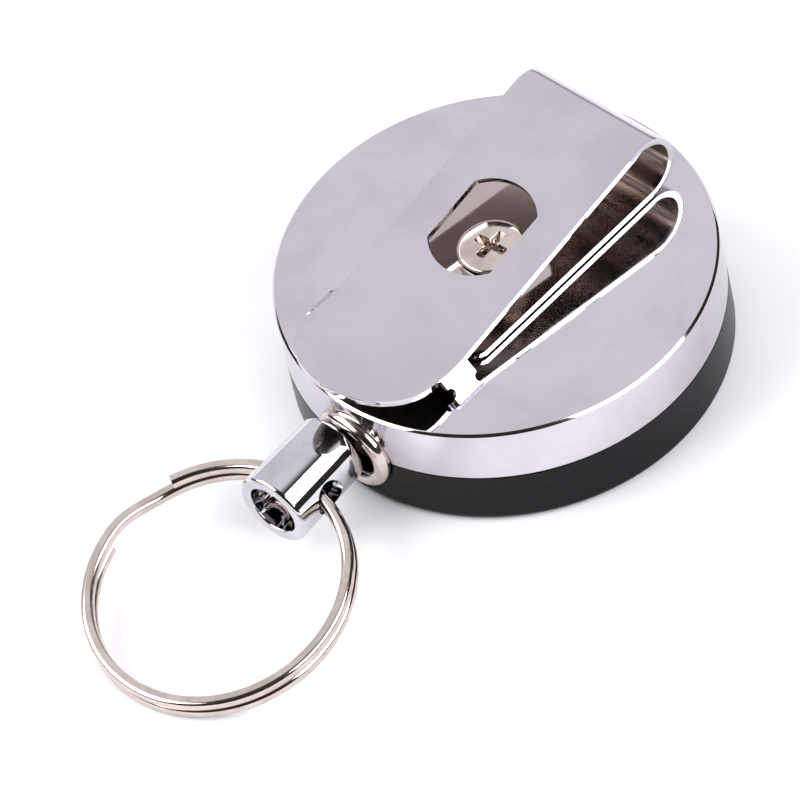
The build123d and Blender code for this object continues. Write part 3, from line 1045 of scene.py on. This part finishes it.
def winding_tree():
    """Cord wound to and fro on a drum, layer on layer."""
    sizes = ["Drum radius", "Turns", "Layers", "Pitch", "Layer step", "Height", "Cord radius"]
    tree, size = new_tree("wound_cord", sizes)
    all_turns = calculate(tree, "MULTIPLY", size["Turns"], size["Layers"])
    line = add(tree, "GeometryNodeCurvePrimitiveLine", {"End": [1.0, 0.0, 0.0]})
    fine = add(tree, "GeometryNodeResampleCurve", {"Curve": line.outputs[0], "Count": 1200})
    share = add(tree, "GeometryNodeSplineParameter").outputs["Factor"]
    turned = calculate(tree, "MULTIPLY", share, all_turns)
    angle = calculate(tree, "MULTIPLY", turned, 2 * math.pi)
    in_layers = calculate(tree, "DIVIDE", turned, size["Turns"])
    to_and_fro = calculate(tree, "PINGPONG", in_layers, 1.0)
    from_middle = calculate(tree, "SUBTRACT", to_and_fro, 0.5)
    span = calculate(tree, "MULTIPLY", calculate(tree, "SUBTRACT", size["Turns"], 1.0), size["Pitch"])
    height = calculate(tree, "MULTIPLY_ADD", from_middle, span, size["Height"])
    last_layer = calculate(tree, "SUBTRACT", size["Layers"], 1.0)
    layer = calculate(tree, "MINIMUM", calculate(tree, "FLOOR", in_layers), last_layer)
    first = calculate(tree, "ADD", size["Drum radius"], size["Cord radius"])
    radius = calculate(tree, "MULTIPLY_ADD", layer, size["Layer step"], first)
    place = add(tree, "ShaderNodeCombineXYZ", {
        "X": calculate(tree, "MULTIPLY", calculate(tree, "COSINE", angle), radius),
        "Y": calculate(tree, "MULTIPLY", calculate(tree, "SINE", angle), radius),
        "Z": height,
    })
    wound = add(tree, "GeometryNodeSetPosition", {"Geometry": fine.outputs[0], "Position": place.outputs[0]})
    upright = add(tree, "GeometryNodeSetCurveNormal", {"Curve": wound.outputs[0]}, mode="Z_UP")
    return sweep_cord(tree, upright.outputs[0], size)


def make_cord():
    """The lead, which draws out straight from the eyelet as the bell is pulled, and the winding inside."""
    along = joint_axis("bell_swivel").normalized()
    knot = joint_point("bell_swivel") + along * (BELL_END_WALL + KNOT_DEPTH)
    reach = LEAD_CORNER.xy.length
    bearing = math.atan2(LEAD_CORNER.y, LEAD_CORNER.x) - math.acos(LEAD_RADIUS / reach)
    lead = grow("cord_lead_braid", cord_lead_tree(), {
        "Start X": LEAD_RADIUS * math.cos(bearing) * MM, "Start Y": LEAD_RADIUS * math.sin(bearing) * MM,
        "Corner X": LEAD_CORNER.x * MM, "Corner Y": LEAD_CORNER.y * MM,
        "End X": knot.x * MM, "End Y": knot.y * MM, "Height": SEAM * MM,
        "Bend radius": LEAD_BEND * MM, "Cord radius": CORD_RADIUS * MM,
    }, NYLON_CORD)
    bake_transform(lead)
    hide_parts("cord_lead")
    winding = grow("cord_winding_braid", winding_tree(), {
        "Drum radius": DRUM_RADIUS * MM, "Turns": WINDING_TURNS, "Layers": WINDING_LAYERS,
        "Pitch": WINDING_PITCH * MM, "Layer step": WINDING_STEP * MM, "Height": SEAM * MM,
        "Cord radius": CORD_RADIUS * MM,
    }, NYLON_CORD)
    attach(winding, "spool")
    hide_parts("wound_cord")


make_back_shell()
make_front_cover()
make_eyelet()
make_clip()
make_ear("clip_ear_right", 1)
make_ear("clip_ear_left", -1)
make_screw()
make_bell()
make_split_ring()
make_cord()

# The pieces that stay as the design has them, each with its finish.
kept_nodes = {
    "arbor_post": ZINC_STEEL, "spring_cover": ZINC_STEEL, "power_spring": SPRING_STEEL,
    "lower_slip_washer": WHITE_ACETAL, "upper_slip_washer": WHITE_ACETAL, "spool_body": WHITE_ACETAL,
    "spool_flange": WHITE_ACETAL, "spool_knot": NYLON_KNOT, "end_knot": NYLON_KNOT,
}
for node, material in kept_nodes.items():
    mesh = frame["nodes"][node].data
    mesh.materials.clear()
    mesh.materials.append(material)


# ---------------------------------------------------------------- Studio

def make_floor():
    """Plain pale sheet under everything."""
    size = 6.0
    form = bmesh.new()
    bmesh.ops.create_grid(form, x_segments=1, y_segments=1, size=size / 2)
    mesh = bpy.data.meshes.new("studio_floor")
    form.to_mesh(mesh)
    form.free()
    material, tree, place = start_material("matt_white_paper")
    fibre = add(tree, "ShaderNodeTexNoise", {"Vector": place, "Scale": per_mm(2.0), "Detail": 3.0})
    tint = add(tree, "ShaderNodeMix", {
        0: fibre.outputs["Fac"], MIX_A: linear("#F6F5F9"), MIX_B: linear("#F3F2F7"),
    }, data_type="RGBA")
    close_material(tree, {"Base Color": tint.outputs[MIX_COLOUR], "Roughness": 0.9})
    floor = bpy.data.objects.new("studio_floor", mesh)
    floor.data.materials.append(material)
    lowest = min(cad_lowest.z, 0.0)
    floor.data.transform(Matrix.Translation((0, 0, lowest - 0.01 * MM)))
    bpy.context.scene.collection.objects.link(floor)


def make_softbox(name, azimuth, elevation, distance, width, height, power):
    """Soft rectangular light that looks at the object. Azimuth is from +X towards +Y."""
    data = bpy.data.lights.new(name, "AREA")
    data.shape = "RECTANGLE"
    data.size = width
    data.size_y = height
    data.energy = power
    light = bpy.data.objects.new(name, data)
    a, e = math.radians(azimuth), math.radians(elevation)
    towards = Vector((math.cos(a) * math.cos(e), math.sin(a) * math.cos(e), math.sin(e)))
    turn = towards.to_track_quat("Z", "Y").to_matrix().to_4x4()
    light.matrix_world = Matrix.Translation(towards * distance) @ turn
    bpy.context.scene.collection.objects.link(light)


def make_world():
    """Dim studio with one wide pale wall over the far side, which the flat metal mirrors.

    The camera itself sees plain white behind everything.
    """
    world = bpy.data.worlds.new("studio")
    bpy.context.scene.world = world
    world.use_nodes = True
    tree = world.node_tree
    tree.nodes.clear()
    direction = add(tree, "ShaderNodeTexCoord").outputs["Generated"]
    wall = Vector((-0.60, 0.36, 0.72)).normalized()
    facing = add(tree, "ShaderNodeVectorMath", {0: direction, 1: wall}, operation="DOT_PRODUCT")
    spread = add(tree, "ShaderNodeMapRange", {
        "Value": facing.outputs["Value"], "From Min": math.cos(math.radians(58)),
        "From Max": math.cos(math.radians(38)),
    }, interpolation_type="SMOOTHSTEP")
    mirrored = add(tree, "ShaderNodeMix", {
        0: spread.outputs[0], MIX_A: linear("#3A3532"), MIX_B: linear("#FBF9FF"),
    }, data_type="RGBA")
    seen = add(tree, "ShaderNodeLightPath").outputs["Is Camera Ray"]
    colour = add(tree, "ShaderNodeMix", {
        0: seen, MIX_A: mirrored.outputs[MIX_COLOUR], MIX_B: linear("#FFFFFF"),
    }, data_type="RGBA")
    light = add(tree, "ShaderNodeBackground", {"Color": colour.outputs[MIX_COLOUR], "Strength": 1.0})
    add(tree, "ShaderNodeOutputWorld", {"Surface": light.outputs[0]})


make_floor()
make_world()
make_softbox("right_softbox", azimuth=14, elevation=40, distance=1.2, width=1.12, height=0.8, power=16.5)
make_softbox("left_softbox", azimuth=-130, elevation=38, distance=1.2, width=1.3, height=0.8, power=17)

bpy.context.scene.view_settings.view_transform = "Standard"
